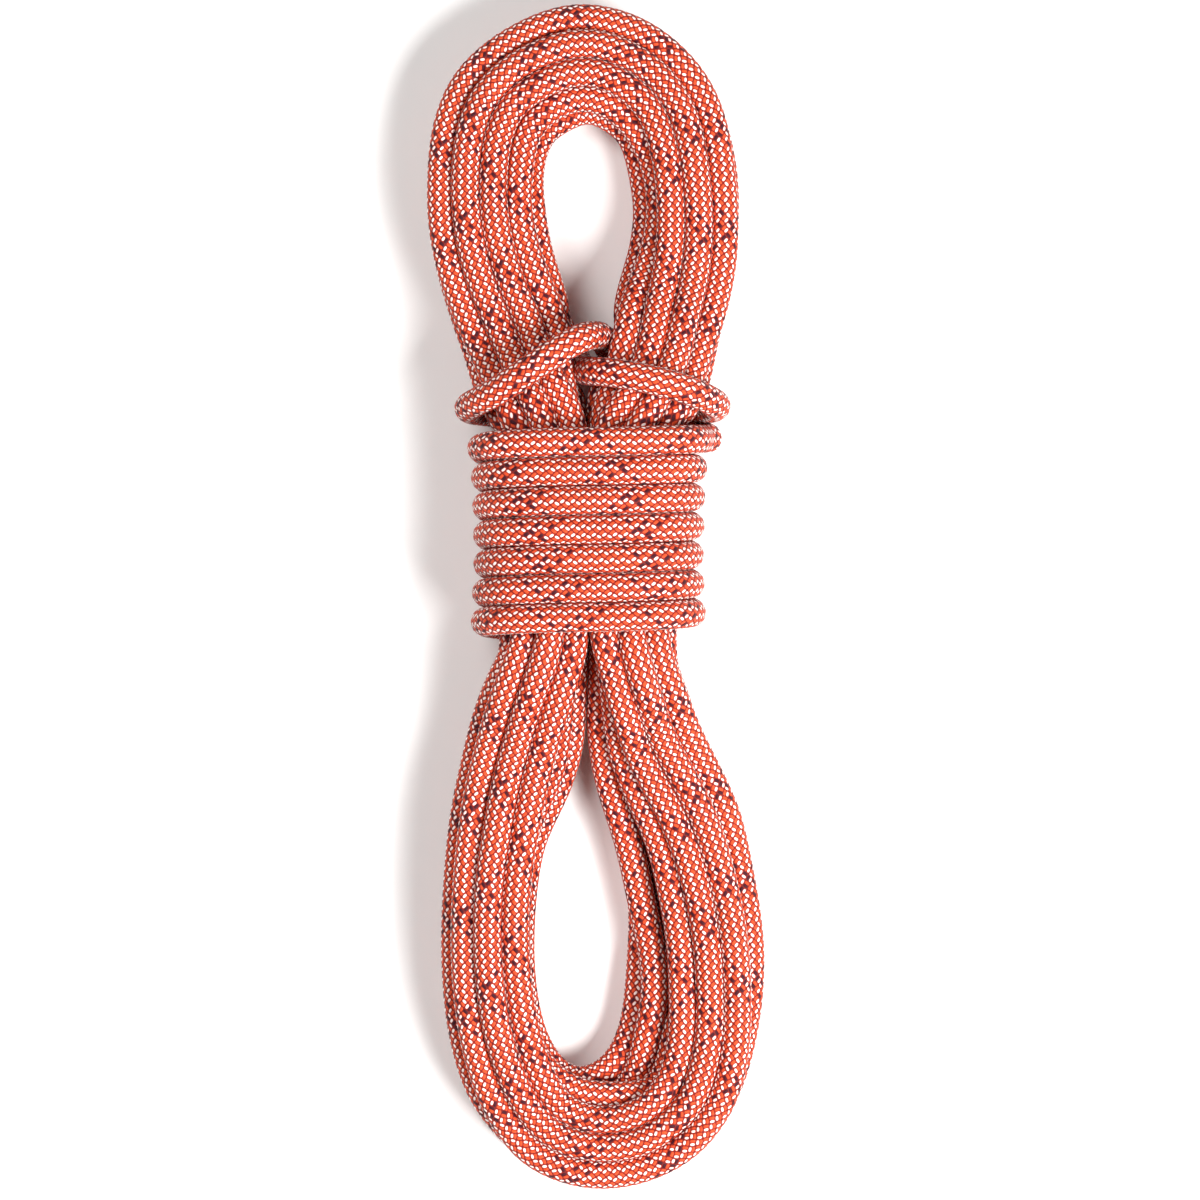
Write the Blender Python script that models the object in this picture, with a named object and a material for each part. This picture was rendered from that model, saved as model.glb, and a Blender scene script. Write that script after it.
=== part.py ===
"""A dynamic climbing rope, 9.8 mm thick, put up as a hank that lies on its back.

The frame has +X to the right across the hank, +Y along it from the lower loop to the upper
one, and +Z up from the surface that it lies on. The origin is on that surface, under the
middle of the hank's box. Lengths in the tables below are in millimetres.

The rope is one length of kernmantle: a braided sheath round a core of twisted strands. It
runs round and round as flat laps, then seven times round their waist, and is finished with
a hitch through the upper eye. The laps are one solid, the wraps another, and the stretch
that isn't coiled is a tube. The two ends are built from their own pieces.
"""

import math

import bmesh
import bpy
import numpy as np

MM = 0.001

# Driving dimensions, in millimetres.
ROPE_D = 9.8
ROPE_R = ROPE_D / 2
GAP = 0.3
WRAP_TURNS = 7
WRAP_TOP_Y = 50.7
WAIST_X = -3.35
WAIST_HALF_WIDTH = 29.8
WAIST_HALF_DEPTH = 22.5
WAIST_SQUARENESS = 3.0
WAIST_Z = WAIST_HALF_DEPTH + ROPE_D

# The rope's make-up at its ends.
SHEATH_WALL = 1.0
CORE_INNER = 3
CORE_OUTER = 9
STRAND_R = 0.72
CORE_LAY = 85.0
SLEEVE_LENGTH = 32.0
SLEEVE_WALL = 0.4
TIP_LENGTH = 2.6
TIP_R = 4.5

# Fineness of the solids.
LAP_RINGS_PER_SPAN = 3
LAP_SIDES = 16
LAP_SQUARENESS = 2.2
WRAP_RINGS = 36
RIB_STEPS = 4
TUBE_SIDES = 12
HITCH_STEP = 5.88

# The two sides of the laps lie a gap apart inside the wraps.
SIDE_HALF_WIDTH = 14.3
SIDE_HALF_DEPTH = 20.4
SIDE_OUT = SIDE_HALF_WIDTH + GAP / 2
SIDE_FOOT = WAIST_Z - SIDE_HALF_DEPTH

# The wraps' middle, and how far from it their hold on the laps starts and stops to ease.
WAIST_Y = WRAP_TOP_Y - (WRAP_TURNS - 1) * ROPE_D / 2
HOLD_REACH = 40.0
HOLD_EASE = 20.0

# Away from the waist the bundle keeps its area, so it is deeper where it is narrower. Past
# the width that the laps need, it leans and gets no shallower.
BUNDLE_HALVES = 345.0
CLOSE_HALF_WIDTH = 20.0

# Round the bundle of laps: its middle in x and y, its underside and its half width.
LAPS = (
    (WAIST_X - SIDE_OUT, -16, SIDE_FOOT, SIDE_HALF_WIDTH),
    (WAIST_X - SIDE_OUT, 20, SIDE_FOOT, SIDE_HALF_WIDTH),
    (WAIST_X - SIDE_OUT, 59, SIDE_FOOT, SIDE_HALF_WIDTH),
    (-21.4, 67, 10.8, 17.4),
    (-25.2, 84, 8.2, 20.0),
    (-31.6, 102, 7.0, 20.2),
    (-36.2, 118, 6.2, 20.1),
    (-38.4, 140, 5.0, 20.1),
    (-32.4, 167.5, 2.0, 20.2),
    (-4.6, 183.2, 0, 20.5),
    (21.6, 169.5, 0, 19.4),
    (30.2, 140, 0, 18.6),
    (30.0, 118, 0.8, 19.2),
    (26.4, 102, 3.4, 20.6),
    (20.4, 84, 8.2, 20.2),
    (15.8, 67, 10.8, 17.4),
    (WAIST_X + SIDE_OUT, 59, SIDE_FOOT, SIDE_HALF_WIDTH),
    (WAIST_X + SIDE_OUT, 20, SIDE_FOOT, SIDE_HALF_WIDTH),
    (WAIST_X + SIDE_OUT, -16, SIDE_FOOT, SIDE_HALF_WIDTH),
    (12.8, -30, 9.6, 16.4),
    (17.2, -53, 5.2, 20.4),
    (27.4, -84, 0.8, 22.6),
    (33.6, -125, 0, 24.0),
    (27.0, -163, 0, 26.4),
    (7.0, -180.4, 0, 24.2),
    (-16.4, -179.8, 0, 21.0),
    (-31.8, -158.5, 0, 17.6),
    (-37.6, -125, 2.6, 16.4),
    (-35.0, -84, 5.6, 17.0),
    (-25.6, -53, 8.0, 20.2),
    (-21.0, -30, 11.0, 17.0),
)

# The finishing hitch, from the last wrap behind the neck, up through the eye, down over the
# left side, behind the neck and up the right side to the eye again.
HITCH_ROUTE = (
    (16.0, 58.9, 16.2),
    (9.0, 68.0, 17.0),
    (6.2, 79.0, 20.0),
    (2.0, 87.4, 29.0),
    (-2.0, 88.6, 41.0),
    (-8.4, 86.0, 50.6),
    (-20.0, 78.6, 53.6),
    (-33.4, 69.8, 50.0),
    (-42.6, 65.4, 38.0),
    (-43.4, 64.0, 24.0),
    (-34.0, 63.4, 9.0),
    (-20.0, 63.2, 5.5),
    (-3.0, 63.0, 5.5),
    (14.0, 63.2, 5.5),
    (30.0, 63.8, 9.0),
    (39.2, 64.6, 24.0),
    (38.6, 66.2, 39.0),
    (29.6, 69.8, 50.0),
    (18.0, 73.0, 53.0),
    (6.0, 75.4, 49.4),
    (-2.6, 76.6, 40.0),
    (-5.4, 77.6, 28.0),
    (-8.0, 82.0, 18.0),
)

# The two end stretches, each from where it leaves the coiled rope to its tip.
WORKING_END_ROUTE = (
    (-8.5, 82.8, 17.1),
    (-11.6, 89.6, 9.0),
    (-16.0, 99.0, 6.3),
    (-22.0, 112.0, 6.3),
    (-29.0, 130.0, 6.3),
    (-34.0, 148.0, 6.3),
    (-35.0, 160.0, 6.3),
)
STANDING_END_ROUTE = (
    (-21.0, -20.0, 12.5),
    (-23.0, -34.0, 9.0),
    (-27.0, -52.0, 6.6),
    (-31.0, -70.0, 6.3),
    (-35.0, -90.0, 6.3),
    (-37.5, -112.0, 6.3),
)


def linear(hex_colour):
    """An sRGB hex colour as linear red, green, blue and alpha."""
    parts = [int(hex_colour[i : i + 2], 16) / 255 for i in (1, 3, 5)]
    return [p / 12.92 if p <= 0.04045 else ((p + 0.055) / 1.055) ** 2.4 for p in parts] + [1]


def material(name, hex_colour, roughness):
    made = bpy.data.materials.new(name)
    made.use_nodes = True
    shader = made.node_tree.nodes["Principled BSDF"]
    shader.inputs["Base Color"].default_value = linear(hex_colour)
    shader.inputs["Roughness"].default_value = roughness
    shader.inputs["Metallic"].default_value = 0
    return made


def smooth_route(points, spans, closed=False):
    """A Catmull-Rom curve through the points, with that many steps in each span."""
    known = np.array(points, float)
    count = len(known)
    if closed:
        known = np.vstack([known[-1], known, known[:2]])
    else:
        known = np.vstack([2 * known[0] - known[1], known, 2 * known[-1] - known[-2]])
    found = []
    for i in range(count if closed else count - 1):
        a, b, c, d = known[i : i + 4]
        for t in np.arange(spans) / spans:
            found.append(
                0.5 * (2 * b + (c - a) * t + (2 * a - 5 * b + 4 * c - d) * t**2)
                + 0.5 * (3 * b - a - 3 * c + d) * t**3
            )
    if not closed:
        found.append(known[-2])
    return np.array(found)


def evenly(route, step):
    """The same route with its points evenly apart, as near to step as fits."""
    along = np.concatenate([[0], np.cumsum(np.linalg.norm(np.diff(route, axis=0), axis=1))])
    at = np.linspace(0, along[-1], max(2, round(along[-1] / step) + 1))
    return np.stack([np.interp(at, along, route[:, k]) for k in range(3)], axis=1)


def travelled(route):
    """How far along the route each point is."""
    return np.concatenate([[0], np.cumsum(np.linalg.norm(np.diff(route, axis=0), axis=1))])


def between(route, start, end):
    """The stretch of a route from one distance along it to another."""
    along = travelled(route)
    inner = along[(along > start + 0.5) & (along < end - 0.5)]
    at = np.concatenate([[start], inner, [end]])
    return np.stack([np.interp(at, along, route[:, k]) for k in range(3)], axis=1)


def carried_frames(route):
    """At each point of a route, its direction and two crossways that don't twist along it."""
    ways = np.gradient(route, axis=0)
    ways /= np.linalg.norm(ways, axis=1, keepdims=True)
    across = np.cross(ways[0], (0, 0, 1))
    across /= np.linalg.norm(across)
    frames = []
    for way in ways:
        across = across - way * (across @ way)
        across /= np.linalg.norm(across)
        frames.append((way, across.copy(), np.cross(way, across)))
    return frames


def ring_at(middle, across, up, radius, sides=TUBE_SIDES):
    angles = np.arange(sides) * 2 * math.pi / sides
    return [middle + radius * (math.cos(a) * across + math.sin(a) * up) for a in angles]


def finish_object(name, bm, made_of, smooth_angle=40):
    """Turns a bmesh in millimetres into a named object in metres."""
    bmesh.ops.scale(bm, vec=(MM, MM, MM), verts=bm.verts)
    if bm.calc_volume(signed=True) < 0:
        bmesh.ops.reverse_faces(bm, faces=bm.faces)
    mesh = bpy.data.meshes.new(name)
    bm.to_mesh(mesh)
    bm.free()
    mesh.shade_smooth()
    mesh.set_sharp_from_angle(angle=math.radians(smooth_angle))
    made = bpy.data.objects.new(name, mesh)
    bpy.context.collection.objects.link(made)
    if made_of:
        mesh.materials.append(made_of)
    return made


def add_band(bm, rings, closed=False):
    """Rings of equal count, each joined to the next by quads. Returns each ring's corners."""
    corners = [[bm.verts.new(p) for p in ring] for ring in rings]
    pairs = list(zip(corners, corners[1:]))
    if closed:
        pairs.append((corners[-1], corners[0]))
    for a, b in pairs:
        for i in range(len(a)):
            bm.faces.new((a[i - 1], a[i], b[i], b[i - 1]))
    return corners


def rod(name, route, radius, made_of=None, shape=None):
    """A solid round bar along a route. shape scales the radius at each point."""
    bm = bmesh.new()
    scales = shape if shape is not None else np.ones(len(route))
    rings = [
        ring_at(p, across, up, radius * s)
        for p, (_, across, up), s in zip(route, carried_frames(route), scales)
    ]
    corners = add_band(bm, rings)
    bm.faces.new(corners[0][::-1])
    bm.faces.new(corners[-1])
    return finish_object(name, bm, made_of)


def pipe(name, route, outer, inner, made_of):
    """A hollow round tube along a route, open at both ends: up its outside, down its bore."""
    bm = bmesh.new()
    frames = carried_frames(route)
    outside = [ring_at(p, a, u, outer) for p, (_, a, u) in zip(route, frames)]
    bore = [ring_at(p, a, u, inner) for p, (_, a, u) in zip(route, frames)]
    add_band(bm, outside + bore[::-1], closed=True)
    return finish_object(name, bm, made_of)


def cord_tube(name, route, radius, made_of, roundness=2):
    """A cord's own solid: a poly curve with a round bevel and filled caps."""
    curve = bpy.data.curves.new(name, "CURVE")
    curve.dimensions = "3D"
    curve.bevel_depth = radius * MM
    curve.bevel_resolution = roundness
    curve.use_fill_caps = True
    line = curve.splines.new("POLY")
    line.points.add(len(route) - 1)
    for point, place in zip(line.points, route):
        point.co = (*(place * MM), 1)
    curve.materials.append(made_of)
    made = bpy.data.objects.new(name, curve)
    bpy.context.collection.objects.link(made)
    return made


def squarish(angle, power):
    """A point of a squared circle, 1 out on each axis."""
    c, s = math.cos(angle), math.sin(angle)
    return (
        math.copysign(abs(c) ** (2 / power), c),
        math.copysign(abs(s) ** (2 / power), s),
    )


def lap_section():
    """The bundle's section, 1 out each way, with a flat facet at its foot and crown."""
    angles = [(i + 0.5) * 2 * math.pi / LAP_SIDES for i in range(LAP_SIDES)]
    section = np.array([squarish(a, LAP_SQUARENESS) for a in angles])
    return section / np.abs(section).max(axis=0)


def half_depth_of(half_width):
    """The half depth that keeps the bundle's area, eased into its depth inside the wraps."""
    eased = min(1, max(0, (half_width - SIDE_HALF_WIDTH) / 3))
    close = min(half_width, CLOSE_HALF_WIDTH)
    return SIDE_HALF_DEPTH + eased * (BUNDLE_HALVES / close - SIDE_HALF_DEPTH)


def freedom(y):
    """0 where the wraps hold the laps straight, 1 well away from them."""
    return min(1, max(0, (abs(y - WAIST_Y) - HOLD_REACH) / HOLD_EASE))


def hank_laps(made_of):
    """All the laps as one closed ring, pinched at the waist and with an eye at each end."""
    stations = smooth_route(LAPS, LAP_RINGS_PER_SPAN, closed=True)
    section = lap_section()
    ways = np.roll(stations, -1, axis=0) - np.roll(stations, 1, axis=0)
    rings = []
    for (x, y, foot, half_width), way in zip(stations, ways):
        half_depth = half_depth_of(half_width)
        way = way[:2] * (freedom(y), 1)
        side = np.array((way[1], -way[0], 0)) / math.hypot(way[0], way[1])
        middle = np.array((x, y, max(foot, 0) + half_depth))
        up = np.array((0, 0, 1))
        rings.append([middle + u * half_width * side + v * half_depth * up for u, v in section])
    bm = bmesh.new()
    add_band(bm, rings, closed=True)
    return finish_object("hank_laps", bm, made_of, smooth_angle=60)


def wrap_profile():
    """The wraps' half section as (out, y): a plain inner wall and one rib for each turn."""
    low = WRAP_TOP_Y - (WRAP_TURNS - 1) * ROPE_D
    points = [(0, low + WRAP_TURNS * ROPE_D - ROPE_R), (0, low - ROPE_R)]
    for turn in range(WRAP_TURNS):
        middle = low + turn * ROPE_D
        for step in range(RIB_STEPS + 1):
            if turn and step == 0:
                continue
            angle = math.pi * step / RIB_STEPS
            out = ROPE_R + ROPE_R * math.sin(angle)
            points.append((out, middle - ROPE_R * math.cos(angle)))
    return points


def waist_wraps(made_of):
    """The seven turns round the waist, as one ribbed sleeve that the laps pass through."""
    profile = wrap_profile()
    angles = [(i + 0.5) * 2 * math.pi / WRAP_RINGS for i in range(WRAP_RINGS)]
    half = np.array((WAIST_HALF_WIDTH, WAIST_HALF_DEPTH))
    rings = []
    for angle in angles:
        across, up = np.array(squarish(angle, WAIST_SQUARENESS)) * half
        power = WAIST_SQUARENESS - 1
        normal = np.array(
            (
                math.copysign(abs(across / half[0]) ** power, across) / half[0],
                math.copysign(abs(up / half[1]) ** power, up) / half[1],
            )
        )
        normal /= np.linalg.norm(normal)
        rings.append(
            [
                (WAIST_X + across + out * normal[0], y, WAIST_Z + up + out * normal[1])
                for out, y in profile
            ]
        )
    bm = bmesh.new()
    add_band(bm, rings, closed=True)
    return finish_object("waist_wraps", bm, made_of)


def strand_routes(route):
    """The core strands: three in the middle and nine round them, laid up with a slow twist."""
    frames = carried_frames(route)
    along = travelled(route)
    inner = (2 * STRAND_R + GAP) / (2 * math.sin(math.pi / CORE_INNER))
    outer = ROPE_R - SHEATH_WALL - 1.5 * GAP - STRAND_R
    for count, radius in ((CORE_INNER, inner), (CORE_OUTER, outer)):
        for k in range(count):
            turns = along / CORE_LAY + k / count
            yield np.array(
                [
                    p + radius * (math.cos(t) * across + math.sin(t) * up)
                    for p, t, (_, across, up) in zip(route, turns * 2 * math.pi, frames)
                ]
            )


def rope_end(name, route, finishes):
    """One end of the rope: its sheath, its core strands, its fused tip and its sleeve."""
    line = evenly(smooth_route(route, 6), ROPE_D)
    length = travelled(line)[-1]
    sheath_end = length - TIP_LENGTH - GAP
    body = between(line, 0, sheath_end)
    pipe(f"{name}_sheath", body, ROPE_R, ROPE_R - SHEATH_WALL, finishes["sheath"])
    core = between(line, GAP, sheath_end - GAP)
    for number, strand in enumerate(strand_routes(core), 1):
        cord_tube(f"{name}_core_strand_{number:02}", strand, STRAND_R, finishes["core"], 1)
    steps = np.linspace(0, 1, 5)
    dome = np.sqrt(1 - 0.55 * steps**2)
    tip_line = evenly(between(line, length - TIP_LENGTH, length), TIP_LENGTH / 4)
    rod(f"{name}_fused_tip", tip_line, TIP_R, finishes["tip"], dome)
    hole = ROPE_R + GAP
    around = between(line, sheath_end - SLEEVE_LENGTH, sheath_end + GAP)
    pipe(f"{name}_sleeve", around, hole + SLEEVE_WALL, hole, finishes["sleeve"])
    return line


def bed(laps, name, route, radius):
    """Hollows the laps where a single turn of rope lies pressed into them."""
    cutter = rod(name, route, radius)
    cutter.hide_render = True
    cutter.display_type = "WIRE"
    cut = laps.modifiers.new(name, "BOOLEAN")
    cut.operation = "DIFFERENCE"
    cut.solver = "EXACT"
    cut.object = cutter


def main():
    for old in list(bpy.data.objects):
        bpy.data.objects.remove(old)
    finishes = {
        "sheath": material("braided_sheath", "#DC6A55", 0.8),
        "core": material("nylon_core", "#F2EFE6", 0.7),
        "tip": material("fused_nylon", "#7A3B2E", 0.4),
        "sleeve": material("shrink_sleeve", "#26272B", 0.45),
    }
    laps = hank_laps(finishes["sheath"])
    waist_wraps(finishes["sheath"])
    hitch = evenly(smooth_route(HITCH_ROUTE, 8), HITCH_STEP)
    cord_tube("finishing_hitch", hitch, ROPE_R, finishes["sheath"])
    working = rope_end("working_end", WORKING_END_ROUTE, finishes)
    standing = rope_end("standing_end", STANDING_END_ROUTE, finishes)
    middle = len(hitch) // 2
    for name, line in (("hitch_bed_1", hitch[: middle + 1]), ("hitch_bed_2", hitch[middle:])):
        bed(laps, name, line, ROPE_R + 2 * GAP)
    for name, line in (("working_end_bed", working), ("standing_end_bed", standing)):
        bed(laps, name, line, ROPE_R + SLEEVE_WALL + 2 * GAP + GAP)


main()
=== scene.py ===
# %% [markdown]
# # A climbing rope put up as a hank
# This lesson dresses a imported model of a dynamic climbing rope: eleven and a half long laps,
# seven turns round their waist and a hitch through the upper eye. The frame gives the real
# size and place of everything, in metres. The rope is laid, relaxed and given its braid here.

import math

import bmesh
import bpy
import numpy as np
from mathutils import Matrix, Vector, noise


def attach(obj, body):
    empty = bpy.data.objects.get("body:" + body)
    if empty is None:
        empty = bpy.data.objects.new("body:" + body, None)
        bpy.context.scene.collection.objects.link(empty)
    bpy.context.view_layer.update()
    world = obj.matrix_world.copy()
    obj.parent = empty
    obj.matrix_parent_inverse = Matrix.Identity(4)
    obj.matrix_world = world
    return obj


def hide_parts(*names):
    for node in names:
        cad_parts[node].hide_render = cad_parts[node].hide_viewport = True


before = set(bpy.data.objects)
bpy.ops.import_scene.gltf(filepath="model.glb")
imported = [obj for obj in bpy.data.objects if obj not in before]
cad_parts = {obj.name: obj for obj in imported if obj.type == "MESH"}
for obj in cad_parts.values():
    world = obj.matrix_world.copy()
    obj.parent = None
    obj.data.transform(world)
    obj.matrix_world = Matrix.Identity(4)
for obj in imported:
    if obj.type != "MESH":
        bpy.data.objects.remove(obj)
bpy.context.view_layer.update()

# %% [markdown]
# ## Camera
# A catalogue picture of a rope is taken from well above it with a long lens, so that near and
# far strands look equally thick. A 155 mm lens 1.75 m above the hank's middle does that.

# %% Camera straight above the hank
MM = 0.001
FRAME_WIDTH = 406.0 * MM
CAMERA_HEIGHT = 1.75
HANK_MIDDLE = 40 * MM

camera = bpy.data.objects.new("camera", bpy.data.cameras.new("camera"))
camera.data.sensor_width = 36
camera.data.lens = camera.data.sensor_width * CAMERA_HEIGHT / FRAME_WIDTH
camera.location = (0.5 * MM, -0.9 * MM, CAMERA_HEIGHT + HANK_MIDDLE)
bpy.context.collection.objects.link(camera)
bpy.context.scene.camera = camera
print("lens:", round(camera.data.lens, 1), "mm")

# %% [markdown]
# ## The rope's route
# A hank is made by laying the rope back and forth, so every lap runs up one side, over the
# top and down the other. The bundle of laps is described by stations round it: the middle in
# x and y, its underside and its half width. A smooth curve through the stations gives the
# bundle everywhere, and each lap then takes its own slot in the bundle's section.

# %% Sizes, in millimetres
ROPE_D = 9.8
ROPE_R = ROPE_D / 2
WAIST_X = -3.35
WAIST_HALF_WIDTH = 29.8
WAIST_HALF_DEPTH = 22.5
WAIST_SQUARENESS = 3.0
WAIST_Z = WAIST_HALF_DEPTH + ROPE_D
WAIST_Y = 21.3
SIDE_GAP = 0.3
SIDE_HALF_WIDTH = 14.3
SIDE_HALF_DEPTH = 20.4
SIDE_OUT = SIDE_HALF_WIDTH + SIDE_GAP / 2
SIDE_FOOT = WAIST_Z - SIDE_HALF_DEPTH
BUNDLE_HALVES = 345.0
CLOSE_HALF_WIDTH = 20.0

# %% Stations round the bundle of laps: x, y, underside and half width
LAPS = (
    (WAIST_X - SIDE_OUT, -16, SIDE_FOOT, SIDE_HALF_WIDTH),
    (WAIST_X - SIDE_OUT, 20, SIDE_FOOT, SIDE_HALF_WIDTH),
    (WAIST_X - SIDE_OUT, 59, SIDE_FOOT, SIDE_HALF_WIDTH),
    (-21.4, 67, 10.8, 17.4),
    (-25.2, 84, 8.2, 20.0),
    (-31.6, 102, 7.0, 20.2),
    (-36.2, 118, 6.2, 20.1),
    (-38.4, 140, 5.0, 20.1),
    (-32.4, 167.5, 2.0, 20.2),
    (-4.6, 183.2, 0, 20.5),
    (21.6, 169.5, 0, 19.4),
    (30.2, 140, 0, 18.6),
    (30.0, 118, 0.8, 19.2),
    (26.4, 102, 3.4, 20.6),
    (20.4, 84, 8.2, 20.2),
    (15.8, 67, 10.8, 17.4),
    (WAIST_X + SIDE_OUT, 59, SIDE_FOOT, SIDE_HALF_WIDTH),
    (WAIST_X + SIDE_OUT, 20, SIDE_FOOT, SIDE_HALF_WIDTH),
    (WAIST_X + SIDE_OUT, -16, SIDE_FOOT, SIDE_HALF_WIDTH),
    (12.8, -30, 9.6, 16.4),
    (17.2, -53, 5.2, 20.4),
    (27.4, -84, 0.8, 22.6),
    (33.6, -125, 0, 24.0),
    (27.0, -163, 0, 26.4),
    (7.0, -180.4, 0, 24.2),
    (-16.4, -179.8, 0, 21.0),
    (-31.8, -158.5, 0, 17.6),
    (-37.6, -125, 2.6, 16.4),
    (-35.0, -84, 5.6, 17.0),
    (-25.6, -53, 8.0, 20.2),
    (-21.0, -30, 11.0, 17.0),
)
RIGHT_WAIST = 18  # the station at the lower end of the waist's right side

# %% Routes of the hitch and of the two ends
HITCH_ROUTE = (
    (16.0, 58.9, 16.2),
    (9.0, 68.0, 17.0),
    (6.2, 79.0, 20.0),
    (2.0, 87.4, 29.0),
    (-2.0, 88.6, 41.0),
    (-8.4, 86.0, 50.6),
    (-20.0, 78.6, 53.6),
    (-33.4, 69.8, 50.0),
    (-42.6, 65.4, 38.0),
    (-43.4, 64.0, 24.0),
    (-34.0, 63.4, 9.0),
    (-20.0, 63.2, 5.5),
    (-3.0, 63.0, 5.5),
    (14.0, 63.2, 5.5),
    (30.0, 63.8, 9.0),
    (39.2, 64.6, 24.0),
    (38.6, 66.2, 39.0),
    (29.6, 69.8, 50.0),
    (18.0, 73.0, 53.0),
    (6.0, 75.4, 49.4),
    (-2.6, 76.6, 40.0),
    (-5.4, 77.6, 28.0),
    (-8.0, 82.0, 18.0),
)
WORKING_END_ROUTE = (
    (-8.5, 82.8, 17.1),
    (-11.6, 89.6, 9.0),
    (-16.0, 99.0, 6.3),
    (-22.0, 112.0, 6.3),
    (-29.0, 130.0, 6.3),
    (-34.0, 148.0, 6.3),
    (-35.0, 160.0, 6.3),
)
STANDING_END_ROUTE = (
    (-21.0, -20.0, 12.5),
    (-23.0, -34.0, 9.0),
    (-27.0, -52.0, 6.6),
    (-31.0, -70.0, 6.3),
    (-35.0, -90.0, 6.3),
    (-37.5, -112.0, 6.3),
)

# %% Smooth curves through listed points
def smooth_route(points, spans, closed=False):
    """A Catmull-Rom curve through the points, with that many steps in each span."""
    known = np.array(points, float)
    count = len(known)
    if closed:
        known = np.vstack([known[-1], known, known[:2]])
    else:
        known = np.vstack([2 * known[0] - known[1], known, 2 * known[-1] - known[-2]])
    t = (np.arange(spans) / spans)[:, None]
    found = []
    for i in range(count if closed else count - 1):
        a, b, c, d = known[i : i + 4]
        found.append(
            0.5 * (2 * b + (c - a) * t + (2 * a - 5 * b + 4 * c - d) * t**2)
            + 0.5 * (3 * b - a - 3 * c + d) * t**3
        )
    if not closed:
        found.append(known[-2][None])
    return np.vstack(found)


def travelled(route):
    """How far along the route each point is."""
    return np.concatenate([[0], np.cumsum(np.linalg.norm(np.diff(route, axis=0), axis=1))])


def read_at(places, along, values):
    """The columns of values, known at along, read at the given places."""
    return np.stack([np.interp(places, along, column) for column in values.T], axis=1)


def evenly(route, step):
    """The same route with its points evenly apart, as near to step as fits."""
    along = travelled(route)
    return read_at(np.linspace(0, along[-1], round(along[-1] / step) + 1), along, route)


def eased(t):
    """0 to 1 with a soft start and end."""
    t = np.clip(t, 0, 1)
    return t * t * (3 - 2 * t)


# %% The bundle between its stations
STEPS_PER_STATION = 8
# Over this much more half width, the bundle eases from its depth inside the wraps.
SPREAD_EASE = 3


def half_depth_of(half_width):
    """The bundle keeps its area, so it is deeper where it is narrower."""
    ease = np.clip((half_width - SIDE_HALF_WIDTH) / SPREAD_EASE, 0, 1)
    close = np.minimum(half_width, CLOSE_HALF_WIDTH)
    return SIDE_HALF_DEPTH + ease * (BUNDLE_HALVES / close - SIDE_HALF_DEPTH)


stations = smooth_route(LAPS, STEPS_PER_STATION, closed=True)
ways = np.roll(stations[:, :2], -1, axis=0) - np.roll(stations[:, :2], 1, axis=0)
ways /= np.linalg.norm(ways, axis=1, keepdims=True)
# Columns: x, y, underside, half width, half depth, and the inward side as x and y.
bundle = np.column_stack([stations, half_depth_of(stations[:, 3]), ways[:, 1], -ways[:, 0]])
bundle[:, 2] = np.maximum(bundle[:, 2], 0)
print("bundle:", len(bundle), "stations")

# %% [markdown]
# ## Where each lap lies
# In the hand the laps pile up in the order that they are laid: the first ones at the back,
# the next ones nearer the eye, the last ones on top and outside. SLOTS gives those places in
# the bundle's section, in rope widths: inward first, then up. Where the bundle is wider than
# the laps need, it leans: its front moves outward, and its back shows inside the eye. The
# rope changes slot as it rounds the lower loop, and wanders a little as hand-laid laps do.

# %% Slots of the laps
LAP_COUNT = 12
SLOTS = np.array([
    (0.0, -1.3), (1.0, -1.3),
    (1.45, -0.43), (0.45, -0.43), (-0.55, -0.43),
    (-0.05, 0.43), (0.97, 0.43),
    (0.48, 1.3), (-0.55, 1.3), (-1.55, 1.3),
    (-1.05, 0.43), (-1.0, -1.3),
])
SLOTS_ACROSS = 4.0
SLOTS_DEEP = 3.6
LOWER_LOOP_START = 0.6
LOWER_LOOP_SHARE = 0.3
# The wraps' hold on the laps: its middle in y, how far it reaches and how slowly it eases.
HOLD_MIDDLE = 20
HOLD_REACH = 40
HOLD_EASE = 60
WANDER = 0.09
LEAN = 0.14
UPPER_TWIST = 0.09
LOWER_TWIST = 0.34
wander_waves = np.random.default_rng(7).normal(size=(LAP_COUNT + 1, 3, 2, 2))


def wandering(lap, part):
    """A slow drift of each lap across the section, as three waves round the lap."""
    shift = np.zeros((len(lap), 2))
    for k in range(3):
        angle = (2 * math.pi * (k + 1) * part)[:, None]
        waves = wander_waves[lap, k]
        shift += waves[:, 0] * np.cos(angle) + waves[:, 1] * np.sin(angle)
    return WANDER * shift


def bundle_at(turns):
    """The bundle's columns at a number of turns from the left of the waist."""
    at = (turns % 1) * len(bundle)
    low = at.astype(int) % len(bundle)
    share = (at - at.astype(int))[:, None]
    return bundle[low] * (1 - share) + bundle[(low + 1) % len(bundle)] * share


def freedom(y):
    """0 where the wraps hold the laps, 1 well away from them."""
    return np.clip((np.abs(y - HOLD_MIDDLE) - HOLD_REACH) / HOLD_EASE, 0, 1)


def lean_of(rings):
    """How far the section moves outward for each millimetre of height."""
    _, y, _, half_width, half_depth, side_x, _ = rings.T
    spare = np.maximum(half_width - CLOSE_HALF_WIDTH, 0) / half_depth
    twist = np.where(y > WAIST_Y, UPPER_TWIST, -LOWER_TWIST)
    return (LEAN + spare + twist * side_x) * freedom(y)


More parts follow.
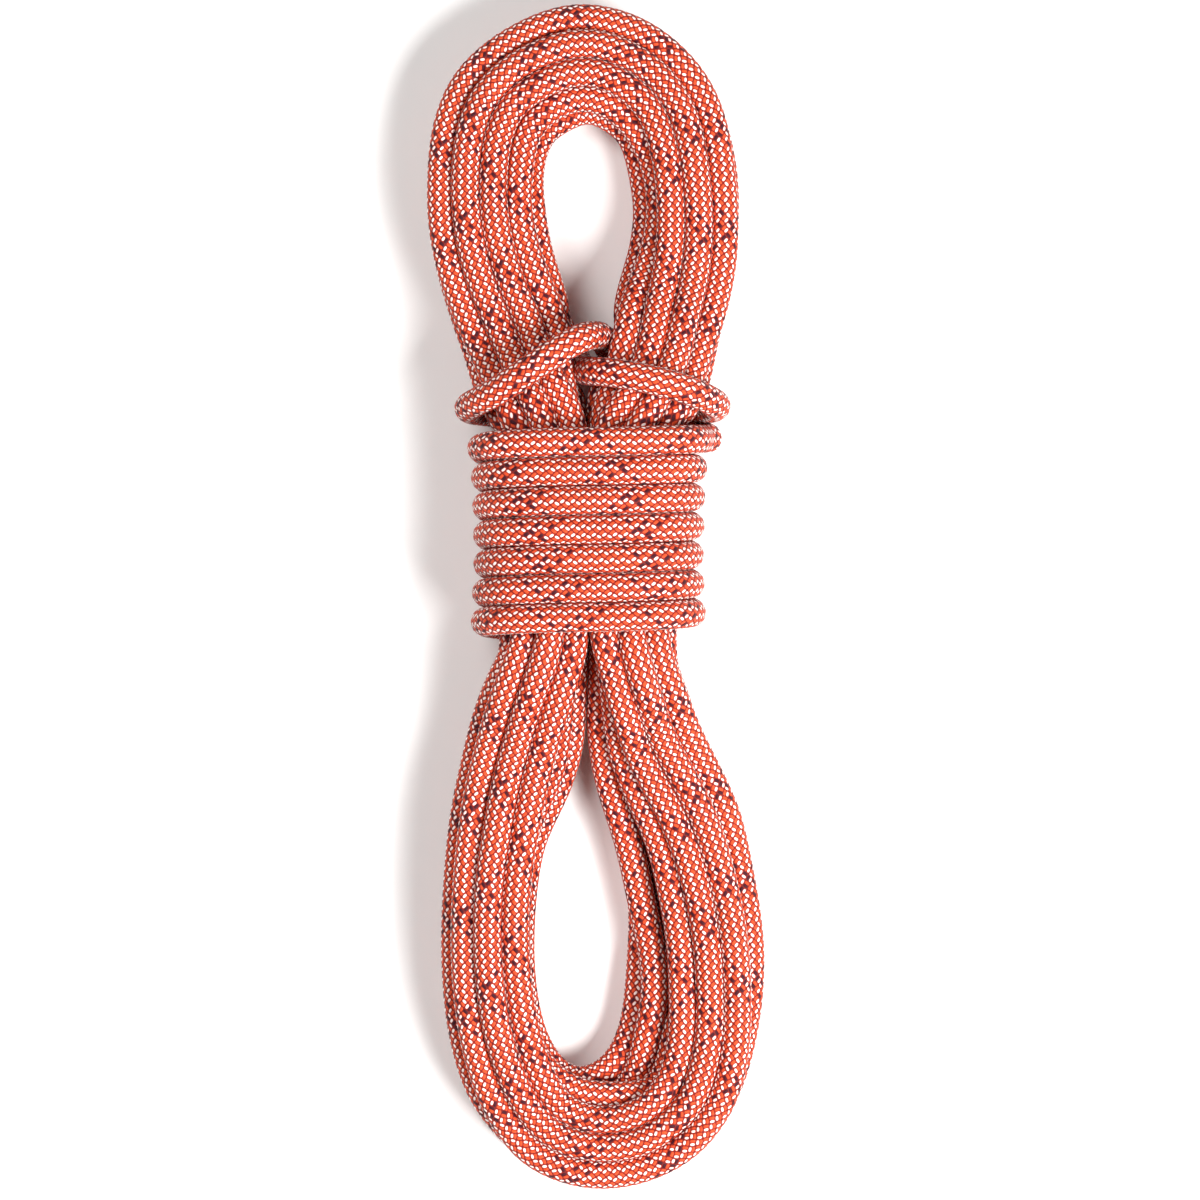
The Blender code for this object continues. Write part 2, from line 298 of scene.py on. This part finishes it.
def laid_laps(turns):
    """A first guess of the laps, each in its slot."""
    rings = bundle_at(turns)
    lap = turns.astype(int)
    part = turns - lap
    after = np.minimum(lap + 1, LAP_COUNT - 1)
    change = eased((part - LOWER_LOOP_START) / LOWER_LOOP_SHARE)[:, None]
    fade = eased(part)[:, None]
    slot = SLOTS[lap] * (1 - change) + SLOTS[after] * change
    slot += wandering(lap, part) * (1 - fade) + wandering(after, part) * fade
    across = slot[:, 0] * 2 / SLOTS_ACROSS * np.minimum(rings[:, 3], CLOSE_HALF_WIDTH)
    up = slot[:, 1] * 2 / SLOTS_DEEP * rings[:, 4]
    across -= lean_of(rings) * up
    flat = rings[:, :2] + across[:, None] * rings[:, 5:7]
    return np.column_stack([flat, rings[:, 2] + rings[:, 4] + up])


# %% Lay the laps
# They start and stop a few steps short, where other stretches of the rope take over.
STEPS_PER_LAP = 220
STEPS_SKIPPED_FIRST = 7
STEPS_SKIPPED_LAST = 10

last_turn = LAP_COUNT - 1 + RIGHT_WAIST / len(LAPS)
lap_turns = np.arange(0, last_turn, 1 / STEPS_PER_LAP)[STEPS_SKIPPED_FIRST:-STEPS_SKIPPED_LAST]
laps = laid_laps(lap_turns)
print("laps as laid:", round(travelled(laps)[-1]), "mm")

# %% [markdown]
# ## The turns round the waist
# Each turn goes over the front from left to right and comes back behind. It climbs one rope
# width, most of it at the back where it isn't seen. The turns don't press equally hard on the
# laps, so they differ a little in how wide they are.

# %% Wraps
WRAP_STEPS = 72
WRAP_END = 6.78
FIRST_WRAP_Y = -11.6
# At these turns, each turn is this much wider than the waist.
WIDER_AT = (0, 2.5, 5, 6, 6.6, 7)
WIDER_BY = (0.6, -0.5, 0.2, 1.0, 2.5, 3.0)
# At these shares of one turn, starting at the back, it has climbed this much.
CLIMB_AT = (0, 0.25, 0.75, 1)
CLIMB = (0, 3.3, 6.5, ROPE_D)


def wrap_places():
    """The seven turns, from the back of the lowest one to the right of the highest one."""
    turn = np.arange(int(WRAP_STEPS * WRAP_END)) / WRAP_STEPS
    angle = np.radians(270 - 360 * turn)
    wider = np.interp(turn, WIDER_AT, WIDER_BY)
    climb = np.interp(turn % 1, CLIMB_AT, CLIMB)
    c, s = np.cos(angle), np.sin(angle)
    half_width = WAIST_HALF_WIDTH + wider
    out_x = np.sign(c) * np.abs(c) ** (2 / WAIST_SQUARENESS)
    out_z = np.sign(s) * np.abs(s) ** (2 / WAIST_SQUARENESS)
    normal_x = np.sign(c) * np.abs(out_x) ** (WAIST_SQUARENESS - 1) / half_width
    normal_z = np.sign(s) * np.abs(out_z) ** (WAIST_SQUARENESS - 1) / WAIST_HALF_DEPTH
    length = np.hypot(normal_x, normal_z)
    x = WAIST_X + out_x * half_width + ROPE_R * normal_x / length
    z = WAIST_Z + out_z * WAIST_HALF_DEPTH + ROPE_R * normal_z / length
    return np.column_stack([x, FIRST_WRAP_Y + turn.astype(int) * ROPE_D + climb, z])


wraps = wrap_places()
print("wraps:", round(travelled(wraps)[-1]), "mm")

# %% One route from end to end
# The rope leaves the laps under the lowest turn's right end, bends back behind the waist,
# makes the seven turns, passes behind the neck and goes into the hitch.
BEND_INTO_WRAPS = (
    (25.8, 2, 24),
    (27, -8, 19.5),
    (25, -15.8, 12),
    (17.5, -17.6, 6),
    (8, -15.6, 5),
)
WRAPS_TO_HITCH = (
    (38.2, 54.6, 19),
    (33.5, 56.2, 11.6),
    (25, 57.4, 12.4),
)
NODE_STEP = 6.0
ROUTE_SPANS = 8
BEND_GIVE = 0.35

# Each stretch, and how freely it moves in the relaxation: 0 stays put, 1 moves fully.
stretches = (
    (smooth_route(STANDING_END_ROUTE, ROUTE_SPANS)[::-1], 0.0),
    (laps, 1.0),
    (np.array(BEND_INTO_WRAPS), BEND_GIVE),
    (wraps, 0.0),
    (np.array(WRAPS_TO_HITCH), 0.0),
    (smooth_route(HITCH_ROUTE, ROUTE_SPANS), 0.0),
    (smooth_route(WORKING_END_ROUTE, ROUTE_SPANS), 0.0),
)
course = np.vstack([points for points, _ in stretches])
give = np.concatenate([np.full(len(points), free) for points, free in stretches])
turns = np.concatenate(
    [lap_turns if free == 1 else np.zeros(len(points)) for points, free in stretches]
)
along = travelled(course)
node_at = np.linspace(0, along[-1], round(along[-1] / NODE_STEP) + 1)
nodes = read_at(node_at, along, course)
node_give = give[np.clip(np.searchsorted(along, node_at), 0, len(give) - 1)]
in_laps = node_give == 1
rings = bundle_at(np.interp(node_at, along, turns))[in_laps]
print("route:", round(along[-1]), "mm with", len(nodes), "nodes")

# %% [markdown]
# ## Letting the rope settle
# The first guess puts strands through each other. A rope resists bending and can't be pushed
# into itself, so a short relaxation moves each node a little at a time: it straightens sharp
# bends, pushes touching strands apart to a rope's width, and keeps them inside the wraps, in
# the bundle and above the floor. It is the same each run, and takes a few seconds. It doesn't
# clear everything: strands stay pressed into each other, mostly by a few tenths of a
# millimetre and by up to 2.5 mm round the hitch, where a real rope flattens.

# %% Relaxation steps
PACKED_D = 9.8
PUSH = 0.9
BEND_STIFFNESS = 0.2
SMOOTHING = 0.004
HOME_PULL = 0.006
BUNDLE_SQUARENESS = 2.6
SLACK = 0.3
WRAP_SLACK = 0.2
HELD_FROM_Y = -14
HELD_TO_Y = 57
LEAST_FREEDOM = 0.02
SAME_STRETCH = 3


def near_pairs(places, reach):
    """Pairs of nodes of different stretches that lie within reach of each other."""
    squares = (places**2).sum(1)
    found = []
    for first in range(0, len(places), 512):
        part = places[first : first + 512]
        gap = squares[first : first + 512, None] + squares[None] - 2 * part @ places.T
        a, b = np.nonzero(gap < reach**2)
        later = b - (a + first) > SAME_STRETCH
        found.append(np.stack([a[later] + first, b[later]]))
    return np.concatenate(found, axis=1)


def straightened(places, free):
    """One step of bending stiffness along the rope."""
    bow = np.zeros_like(places)
    bow[1:-1] = 0.5 * (places[:-2] + places[2:]) - places[1:-1]
    change = np.zeros_like(places)
    change[1:-1] = 0.5 * (bow[:-2] + bow[2:]) - bow[1:-1]
    return places + free * (SMOOTHING * bow - BEND_STIFFNESS * change)


def pushed_apart(places, pairs, free):
    """Moves strands that cut into each other apart."""
    a, b = pairs
    apart = places[b] - places[a]
    gap = np.linalg.norm(apart, axis=1)
    hit = gap < PACKED_D
    a, b, apart, gap = a[hit], b[hit], apart[hit], np.maximum(gap[hit], 1e-3)
    push = apart / gap[:, None] * (PACKED_D - gap)[:, None]
    total = np.maximum(free[a] + free[b], 1e-6)
    move = np.zeros_like(places)
    count = len(places)
    for k in range(3):
        move[:, k] += np.bincount(b, push[:, k] * (free[b] / total)[:, 0], count)
        move[:, k] -= np.bincount(a, push[:, k] * (free[a] / total)[:, 0], count)
    touches = np.bincount(a, minlength=count) + np.bincount(b, minlength=count)
    return places + PUSH * move / np.maximum(1, 0.5 * touches)[:, None]


def held_by_wraps(places):
    """Keeps the laps inside the turns round the waist."""
    half = np.array((WAIST_HALF_WIDTH, WAIST_HALF_DEPTH)) - ROPE_R + WRAP_SLACK
    inside = in_laps & (places[:, 1] > HELD_FROM_Y) & (places[:, 1] < HELD_TO_Y)
    out = (places[inside][:, [0, 2]] - (WAIST_X, WAIST_Z)) / half
    far = (np.abs(out) ** WAIST_SQUARENESS).sum(1) ** (1 / WAIST_SQUARENESS)
    out /= np.maximum(far, 1)[:, None]
    places[np.ix_(inside, (0, 2))] = out * half + (WAIST_X, WAIST_Z)


def held_in_bundle(places):
    """Draws strands that stray out of the bundle's section halfway back to it."""
    x, y, foot, half_width, half_depth, side_x, side_y = rings.T
    here = places[in_laps]
    up = here[:, 2] - foot - half_depth
    lean = lean_of(rings)
    half_width = np.minimum(half_width, CLOSE_HALF_WIDTH)
    across = (here[:, 0] - x) * side_x + (here[:, 1] - y) * side_y + lean * up
    wide = np.abs(across / (half_width - ROPE_R + SLACK))
    deep = np.abs(up / (half_depth - ROPE_R + SLACK))
    far = (wide**BUNDLE_SQUARENESS + deep**BUNDLE_SQUARENESS) ** (1 / BUNDLE_SQUARENESS)
    strays = (far > 1) & (freedom(y) > LEAST_FREEDOM)
    shrink = np.where(strays, 0.5 / np.maximum(far, 1) - 0.5, 0)
    inward = across * shrink - lean * up * shrink
    here += np.column_stack([inward * side_x, inward * side_y, up * shrink])
    here[:, 2] = np.maximum(here[:, 2], ROPE_R)
    places[in_laps] = here


# %% Run the relaxation
ROUNDS = 600
ROUNDS_PER_SEARCH = 8
SEARCH_REACH = 1.35 * ROPE_D

home = nodes.copy()
free = node_give[:, None]
for settle_round in range(ROUNDS):
    if settle_round % ROUNDS_PER_SEARCH == 0:
        pairs = near_pairs(nodes, SEARCH_REACH)
    nodes = straightened(nodes, free)
    nodes += free * HOME_PULL * (home - nodes)
    nodes = pushed_apart(nodes, pairs, free)
    held_by_wraps(nodes)
    held_in_bundle(nodes)

gaps = np.linalg.norm(nodes[pairs[0]] - nodes[pairs[1]], axis=1)
deepest = float(np.maximum(PACKED_D - gaps, 0).max())
print("strands pressed together:", round(deepest, 2), "mm at most")

# %% [markdown]
# ## From a line to a rope
# The settled line becomes a tube. A curve object with a round bevel does this and keeps its
# rings from twisting. It is then turned into a mesh, so that it can carry a map of its own:
# U runs along the rope in metres and V once round it. The braid needs such a map, because it
# has to follow the rope round every bend.

# %% The rope's line and its tube
RING_STEP = 3.2
TUBE_ROUNDNESS = 7
TUBE_SIDES = 2 * TUBE_ROUNDNESS + 4
TIP_LENGTH = 2.6
TIP_GAP = 0.3

line = smooth_route(nodes, 4)
ends = TIP_LENGTH + TIP_GAP
total = travelled(line)[-1]
ring_at = np.linspace(ends, total - ends, round((total - 2 * ends) / RING_STEP) + 1)
rope_line = read_at(ring_at, travelled(line), line)
print("rope:", round(total), "mm,", len(rope_line), "rings")


def tube_mesh(name, route, radius, roundness):
    """An open tube mesh round a route in millimetres, ring after ring."""
    curve = bpy.data.curves.new(name, "CURVE")
    curve.dimensions = "3D"
    curve.bevel_depth = radius * MM
    curve.bevel_resolution = roundness
    spline = curve.splines.new("POLY")
    spline.points.add(len(route) - 1)
    for point, place in zip(spline.points, route * MM):
        point.co = (*place, 1)
    made = bpy.data.objects.new(name, curve)
    bpy.context.collection.objects.link(made)
    mesh = bpy.data.meshes.new_from_object(made)
    bpy.data.objects.remove(made)
    bpy.data.curves.remove(curve)
    mesh.shade_smooth()
    return mesh


def close_ends(mesh):
    """Fills the round hole at each end of a tube."""
    bm = bmesh.new()
    bm.from_mesh(mesh)
    bmesh.ops.holes_fill(bm, edges=[edge for edge in bm.edges if edge.is_boundary])
    bm.to_mesh(mesh)
    bm.free()


def map_along(mesh, route, sides):
    """Gives a tube's faces a map: metres along the route, turns round it."""
    ring = np.arange(len(mesh.vertices)) // sides
    corner = np.empty(len(mesh.loops), int)
    mesh.loops.foreach_get("vertex_index", corner)
    start = np.empty(len(mesh.polygons), int)
    mesh.polygons.foreach_get("loop_start", start)
    size = np.empty(len(mesh.polygons), int)
    mesh.polygons.foreach_get("loop_total", size)
    step = corner % sides
    wraps_round = np.maximum.reduceat(step, start) - np.minimum.reduceat(step, start) > sides / 2
    late = np.repeat(wraps_round & (size == 4), size) & (step < sides / 2)
    around = (step + np.where(late, sides, 0)) / sides
    uv = np.column_stack([travelled(route)[ring[corner]] * MM, around])
    layer = mesh.uv_layers.new(name="rope_map")
    layer.data.foreach_set("uv", uv.astype(np.float32).ravel())


def add_piece(name, mesh, made_of):
    """A finished piece at the origin, riding on the rope's one body."""
    made = bpy.data.objects.new(name, mesh)
    bpy.context.collection.objects.link(made)
    mesh.materials.clear()
    mesh.materials.append(made_of)
    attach(made, "root")
    return made


rope_mesh = tube_mesh("climbing_rope", rope_line, ROPE_R, TUBE_ROUNDNESS)
close_ends(rope_mesh)
map_along(rope_mesh, rope_line, TUBE_SIDES)
print("tube:", len(rope_mesh.vertices), "vertices,", len(rope_mesh.polygons), "faces")

# %% [markdown]
# ## Materials
# One small function adds a node with its settings and its links, and one turns an sRGB hex
# colour to the linear values that a shader works in.

# %% Node and colour helpers
def linear(hex_colour):
    """An sRGB hex colour as linear red, green, blue and alpha."""
    parts = [int(hex_colour[i : i + 2], 16) / 255 for i in (1, 3, 5)]
    return [p / 12.92 if p <= 0.04045 else ((p + 0.055) / 1.055) ** 2.4 for p in parts] + [1]


def new_material(name, **constants):
    """A material, its node tree and its Principled shader with the given constants."""
    made = bpy.data.materials.new(name)
    made.use_nodes = True
    shader = made.node_tree.nodes["Principled BSDF"]
    for socket, value in constants.items():
        shader.inputs[socket.replace("_", " ")].default_value = value
    return made, made.node_tree, shader


def add(tree, kind, *inputs, **settings):
    """Adds a node. Inputs go to its sockets in order: a socket is linked, a value is set."""
    node = tree.nodes.new(kind)
    for name, value in settings.items():
        setattr(node, name, value)
    for socket, value in zip(node.inputs, inputs):
        if isinstance(value, bpy.types.NodeSocket):
            tree.links.new(value, socket)
        elif value is not None:
            socket.default_value = value
    return node


def calc(tree, operation, *values):
    """The result of a Math node."""
    return add(tree, "ShaderNodeMath", *values, operation=operation).outputs[0]


def blended(tree, share, low, high):
    """Low where share is 0, high where it is 1, for plain numbers."""
    return calc(tree, "MULTIPLY_ADD", share, calc(tree, "SUBTRACT", high, low), low)


def painted(tree, share, low, high):
    """A colour mix: low where share is 0, high where it is 1."""
    # The five sockets between the share and the colours are for mixing numbers and vectors.
    between = [None] * 5
    node = add(tree, "ShaderNodeMix", share, *between, low, high, data_type="RGBA")
    return node.outputs[2]


def rise(tree, value, low, high):
    """A soft step from 0 at low to 1 at high."""
    node = add(tree, "ShaderNodeMapRange", value, low, high, interpolation_type="SMOOTHSTEP")
    return node.outputs[0]


def hump(tree, part):
    """A rounded rise from 0 to 1 and back over one cell."""
    out = calc(tree, "MULTIPLY_ADD", part, 2.0, -1.0)
    return calc(tree, "SUBTRACT", 1.0, calc(tree, "MULTIPLY", out, out))


# %% [markdown]
# ## Braided polyamide sheath
# The sheath of a dynamic rope is braided from 40 yarns of polyamide (nylon), 20 going round
# each way. Here they run in pairs, one orange-red and one white, each pair over one and under
# one of the other way's. The two diagonal counts P and Q say which pair a point belongs to.
# Where P and Q add up to an even number, the P pair is on top, otherwise the Q pair. A few
# dark tracer yarns make flecks that wind round the rope. Yarn has no gloss but a slight
# sheen. The shade that falls in the gaps between yarns, which is most of what the eye reads,
# is painted into the colour: each yarn darkens to a deep red towards the gaps.

# %% The braid
PAIRS_ROUND = 10
CELL_LENGTH = 1.7 * MM
TRACER_CODES = (3.0, 4.5, 16.0)
# A single fibre is 0.03 mm thick and wouldn't show, so its unevenness is drawn a yarn wide.
FIBRE_SIZE = 1.11 * MM
DYE_PATCH = 16.7 * MM
RELIEF_DEPTH = 0.3 * MM
FIBRE_RELIEF = 0.25
ORANGE = "#DB4A22"
WHITE = "#FFF4EE"
TRACER = "#3F0818"
# Painted shade: the deep red that stands for the shade in the gaps between yarns.
PAINTED_GAP_SHADE = "#6E120D"
# From which height of a yarn to which its own colour comes out of the painted gap shade.
# Low on a white yarn the orange and the painted gap shade show: partly because orange
# yarns cover it there, partly as painted shade and red light bounced off the orange yarns.
ORANGE_EDGE = (0.0, 0.5)
WHITE_EDGE = (0.28, 0.66)
TRACER_EDGE = (0.02, 0.3)
# The shade of the dye, and how much its patches and the fibres add to it.
BASE_SHADE = 0.55
DYE_SHADE = 0.4
FIBRE_SHADE = 0.5


def braid_material():
    """The braid's colours, with painted shade in its gaps, and relief, from the counts P and Q
    of the rope's own map.
    """
    made, tree, shader = new_material(
        "braided_polyamide_sheath", Roughness=0.7, Specular_IOR_Level=0.25,
        Sheen_Weight=0.05, Sheen_Roughness=0.45,
    )
    spot = add(tree, "ShaderNodeUVMap", uv_map="rope_map")
    part = add(tree, "ShaderNodeSeparateXYZ", spot.outputs[0])
    u = calc(tree, "DIVIDE", part.outputs[0], CELL_LENGTH)
    v = calc(tree, "MULTIPLY", part.outputs[1], 2 * PAIRS_ROUND)
    p = calc(tree, "MULTIPLY_ADD", calc(tree, "ADD", u, v), 0.5, 0.5)
    q = calc(tree, "MULTIPLY_ADD", calc(tree, "SUBTRACT", u, v), 0.5, 0.5)
    p_pair = calc(tree, "FLOOR", p)
    q_pair = calc(tree, "FLOOR", q)
    q_on_top = calc(tree, "FLOORED_MODULO", calc(tree, "ADD", p_pair, q_pair), 2.0)
    p_part = calc(tree, "SUBTRACT", p, p_pair)
    q_part = calc(tree, "SUBTRACT", q, q_pair)
    across = blended(tree, q_on_top, p_part, q_part)
    lengthways = blended(tree, q_on_top, q_part, p_part)
    is_white = calc(tree, "GREATER_THAN", across, 0.5)
    yarn = calc(tree, "FRACT", calc(tree, "MULTIPLY", across, 2.0))
    round_yarn = hump(tree, yarn)
    over_under = calc(tree, "POWER", hump(tree, lengthways), 1.6)
    height = calc(tree, "MULTIPLY", round_yarn, over_under)
    pair = blended(tree, q_on_top, p_pair, q_pair)
    pair = calc(tree, "FLOORED_MODULO", pair, float(PAIRS_ROUND))
    code = calc(tree, "MULTIPLY_ADD", q_on_top, float(PAIRS_ROUND), pair)
    code = calc(tree, "MULTIPLY_ADD", is_white, 0.5, code)
    tracer = 0.0
    for tracer_code in TRACER_CODES:
        tracer = calc(tree, "ADD", calc(tree, "COMPARE", code, tracer_code, 0.1), tracer)
    place = add(tree, "ShaderNodeTexCoord").outputs["Object"]
    fibres = add(tree, "ShaderNodeTexNoise", place, None, 1 / FIBRE_SIZE, 3.0, 0.6)
    dye = add(tree, "ShaderNodeTexNoise", place, None, 1 / DYE_PATCH, 2.0, 0.5)
    crown = rise(tree, height, *WHITE_EDGE)
    # Painted shade: towards the gaps between yarns every yarn darkens to the deep red.
    colour = painted(tree, rise(tree, height, *ORANGE_EDGE), linear(PAINTED_GAP_SHADE), linear(ORANGE))
    # Only a white yarn's crown is white. Lower down the orange and the painted gap shade show:
    # partly where orange yarns cover it, partly painted shade and red light bounced among yarns.
    colour = painted(tree, calc(tree, "MULTIPLY", is_white, crown), colour, linear(WHITE))
    flecked = calc(tree, "MULTIPLY", tracer, rise(tree, height, *TRACER_EDGE))
    colour = painted(tree, flecked, colour, linear(TRACER))
    uneven = calc(tree, "MULTIPLY_ADD", dye.outputs[0], DYE_SHADE, BASE_SHADE)
    value = calc(tree, "MULTIPLY_ADD", fibres.outputs[0], FIBRE_SHADE, uneven)
    shade = add(tree, "ShaderNodeHueSaturation", 0.5, 1.0, value, 1.0, colour)
    tree.links.new(shade.outputs[0], shader.inputs["Base Color"])
    fuzz = calc(tree, "MULTIPLY_ADD", fibres.outputs[0], FIBRE_RELIEF, height)
    relief = add(tree, "ShaderNodeBump", 0.8, RELIEF_DEPTH)
    tree.links.new(fuzz, relief.inputs["Height"])
    tree.links.new(relief.outputs[0], shader.inputs["Normal"])
    return made


sheath = braid_material()
pair_width = math.pi * ROPE_D / PAIRS_ROUND
print("braid:", 4 * PAIRS_ROUND, "yarns,", round(pair_width, 2), "mm to a pair of yarns")

# %% The rope as one piece
rope = add_piece("climbing_rope", rope_mesh, sheath)
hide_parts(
    "hank_laps", "waist_wraps", "finishing_hitch", "working_end_sheath", "standing_end_sheath"
)

# %% [markdown]
# ## Rope ends
# Each end is cut with a hot knife, which melts the sheath and core together into a hard,
# darkened cap. A black heat-shrink sleeve keeps the sheath from creeping off the core. The
# cap is a squashed ball with a few melted lumps, and the sleeve a tube with a real wall and
# rounded lips.

# %% Finishes of the ends
MELT_LUMP = 2.86 * MM
SLEEVE_SPECK = 11.1 * MM
SLEEVE_GRAIN = 1.61 * MM
# Threads this fine wouldn't show, so the waves that stand for them are drawn coarser.
CORE_THREAD = 2.38 * MM


def fused_material():
    """Nylon melted by a hot knife: dark, glassy where it flowed, with lumps."""
    made, tree, shader = new_material("hot_cut_polyamide", Roughness=0.32, IOR=1.53)
    place = add(tree, "ShaderNodeTexCoord").outputs["Object"]
    flow = add(tree, "ShaderNodeTexNoise", place, None, 1 / MELT_LUMP, 3.0, 0.5)
    colour = painted(tree, flow.outputs[0], linear("#5E1B14"), linear("#B0503C"))
    tree.links.new(colour, shader.inputs["Base Color"])
    relief = add(tree, "ShaderNodeBump", 0.5, 0.3 * MM)
    tree.links.new(flow.outputs[0], relief.inputs["Height"])
    tree.links.new(relief.outputs[0], shader.inputs["Normal"])
    return made


def shrink_material():
    """Heat-shrink sleeve, a satin black polyolefin that shows the braid under it."""
    made, tree, shader = new_material("heat_shrink_polyolefin", Roughness=0.42, IOR=1.49)
    spot = add(tree, "ShaderNodeTexCoord").outputs["Object"]
    grain = add(tree, "ShaderNodeTexVoronoi", spot, None, 1 / SLEEVE_GRAIN)
    specks = add(tree, "ShaderNodeTexNoise", spot, None, 1 / SLEEVE_SPECK, 2.0, 0.5)
    colour = painted(tree, specks.outputs[0], linear("#141416"), linear("#2E2F33"))
    tree.links.new(colour, shader.inputs["Base Color"])
    relief = add(tree, "ShaderNodeBump", 0.35, 0.15 * MM)
    tree.links.new(grain.outputs[0], relief.inputs["Height"])
    tree.links.new(relief.outputs[0], shader.inputs["Normal"])
    return made


def core_material():
    """Undyed twisted polyamide yarn: fine bright threads that wind round each strand."""
    made, tree, shader = new_material("twisted_core_yarn", Roughness=0.55, Sheen_Weight=0.2)
    place = add(tree, "ShaderNodeTexCoord").outputs["Object"]
    threads = add(
        tree, "ShaderNodeTexWave", place, 1 / CORE_THREAD, 2.0, 2.0, bands_direction="DIAGONAL"
    )
    colour = painted(tree, threads.outputs["Fac"], linear("#CFC9BA"), linear("#FBF9F2"))
    tree.links.new(colour, shader.inputs["Base Color"])
    relief = add(tree, "ShaderNodeBump", 0.5, 0.1 * MM)
    tree.links.new(threads.outputs["Fac"], relief.inputs["Height"])
    tree.links.new(relief.outputs[0], shader.inputs["Normal"])
    return made


fused = fused_material()
shrink = shrink_material()
core = core_material()
for name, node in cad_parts.items():
    if "core_strand" in name:
        node.data.materials.clear()
        node.data.materials.append(core)
print("finishes:", fused.name, shrink.name, core.name)

# %% The fused tips and the sleeves
SLEEVE_LENGTH = 32.0
SLEEVE_WALL = 0.4
SLEEVE_GAP = 0.1
SLEEVE_ROUNDNESS = 10
SLEEVE_LIP = 0.12
SLEEVE_STEP = 1.0
TIP_R = ROPE_R * 0.96
LUMP_HEIGHT = 0.22
LUMPS_PER_MM = 0.9


def fused_tip(name, place, way):
    """A squashed, lumpy ball that closes the rope's end."""
    bm = bmesh.new()
    bmesh.ops.create_uvsphere(bm, u_segments=32, v_segments=16, radius=TIP_R)
    whole = bm.verts[:] + bm.edges[:] + bm.faces[:]
    bmesh.ops.bisect_plane(
        bm, geom=whole, plane_co=(0, 0, 0), plane_no=(0, 0, -1), clear_outer=True
    )
    rim = [edge for edge in bm.edges if edge.is_boundary]
    bmesh.ops.contextual_create(bm, geom=rim)
    bmesh.ops.scale(bm, vec=(1, 1, TIP_LENGTH / TIP_R), verts=bm.verts)
    rim_height = 0.1
    for vert in bm.verts:
        if vert.co.z > rim_height:
            lump = noise.noise(vert.co * LUMPS_PER_MM + Vector(place))
            vert.co += LUMP_HEIGHT * lump * vert.co.normalized()
    turn = Vector((0, 0, 1)).rotation_difference(Vector(way)).to_matrix().to_4x4()
    bmesh.ops.transform(bm, matrix=Matrix.Translation(Vector(place)) @ turn, verts=bm.verts)
    bmesh.ops.scale(bm, vec=(MM, MM, MM), verts=bm.verts)
    bmesh.ops.recalc_face_normals(bm, faces=bm.faces)
    mesh = bpy.data.meshes.new(name)
    bm.to_mesh(mesh)
    bm.free()
    mesh.shade_smooth()
    return mesh


def sleeve(name, route):
    """A tube with a real wall and softened lips round the end of the rope."""
    mesh = tube_mesh(name, route, ROPE_R + SLEEVE_GAP, SLEEVE_ROUNDNESS)
    made = add_piece(name, mesh, shrink)
    wall = made.modifiers.new("wall", "SOLIDIFY")
    wall.thickness = SLEEVE_WALL * MM
    wall.offset = 1
    lips = made.modifiers.new("lips", "BEVEL")
    lips.width = SLEEVE_LIP * MM
    lips.segments = 2
    return made


end_pieces = []
for name, from_tip in (("standing_end", rope_line), ("working_end", rope_line[::-1])):
    way = from_tip[0] - from_tip[1]
    tip_at = from_tip[0] + way / np.linalg.norm(way) * TIP_GAP / 2
    mesh = fused_tip(f"{name}_hot_cut_tip", tip_at, way)
    tip = add_piece(f"{name}_hot_cut_tip", mesh, fused)
    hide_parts(f"{name}_fused_tip")
    under = from_tip[travelled(from_tip) < SLEEVE_LENGTH]
    cover = sleeve(f"{name}_heat_shrink", evenly(smooth_route(under, 3), SLEEVE_STEP))
    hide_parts(f"{name}_sleeve")
    end_pieces += [tip, cover]
print("end pieces:", [piece.name for piece in end_pieces])

# %% [markdown]
# ## Floor and light
# A plain pale floor and soft light: a large key from the lower right, a weaker fill from the
# upper left and a dim sky. The key leaves the lower eye's right and lower walls in shade.

# %% Floor, lights and sky
FLOOR_HALF = 3.0
SKY_STRENGTH = 0.12


def floor_material():
    """Matt white board: no gloss, and barely any unevenness in its white."""
    made, tree, shader = new_material("matt_white_board", Roughness=0.9)
    place = add(tree, "ShaderNodeTexCoord").outputs["Object"]
    cloud = add(tree, "ShaderNodeTexNoise", place, None, 3.0, 2.0, 0.5)
    colour = painted(tree, cloud.outputs[0], linear("#F4F3F1"), linear("#FAFAF9"))
    tree.links.new(colour, shader.inputs["Base Color"])
    return made


def add_floor():
    """A flat board at the height that the hank lies on."""
    bm = bmesh.new()
    bmesh.ops.create_grid(bm, x_segments=8, y_segments=8, size=FLOOR_HALF)
    mesh = bpy.data.meshes.new("floor")
    bm.to_mesh(mesh)
    bm.free()
    mesh.materials.append(floor_material())
    floor = bpy.data.objects.new("floor", mesh)
    bpy.context.collection.objects.link(floor)


def add_area(name, place, size, power):
    """A soft square light that faces the hank, with its size in metres and power in watts."""
    lamp = bpy.data.lights.new(name, "AREA")
    lamp.size = size
    lamp.energy = power
    made = bpy.data.objects.new(name, lamp)
    made.location = place
    made.rotation_euler = Vector(place).to_track_quat("Z", "Y").to_euler()
    bpy.context.collection.objects.link(made)


add_floor()
add_area("key_light", (0.8, -0.55, 1.3), 0.65, 47)
add_area("fill_light", (-0.6, 0.45, 1.5), 0.8, 17)
sky = bpy.data.worlds.new("sky")
sky.use_nodes = True
background = sky.node_tree.nodes["Background"]
background.inputs["Color"].default_value = (1, 1, 1, 1)
background.inputs["Strength"].default_value = SKY_STRENGTH
bpy.context.scene.world = sky
bpy.context.scene.view_settings.view_transform = "Standard"
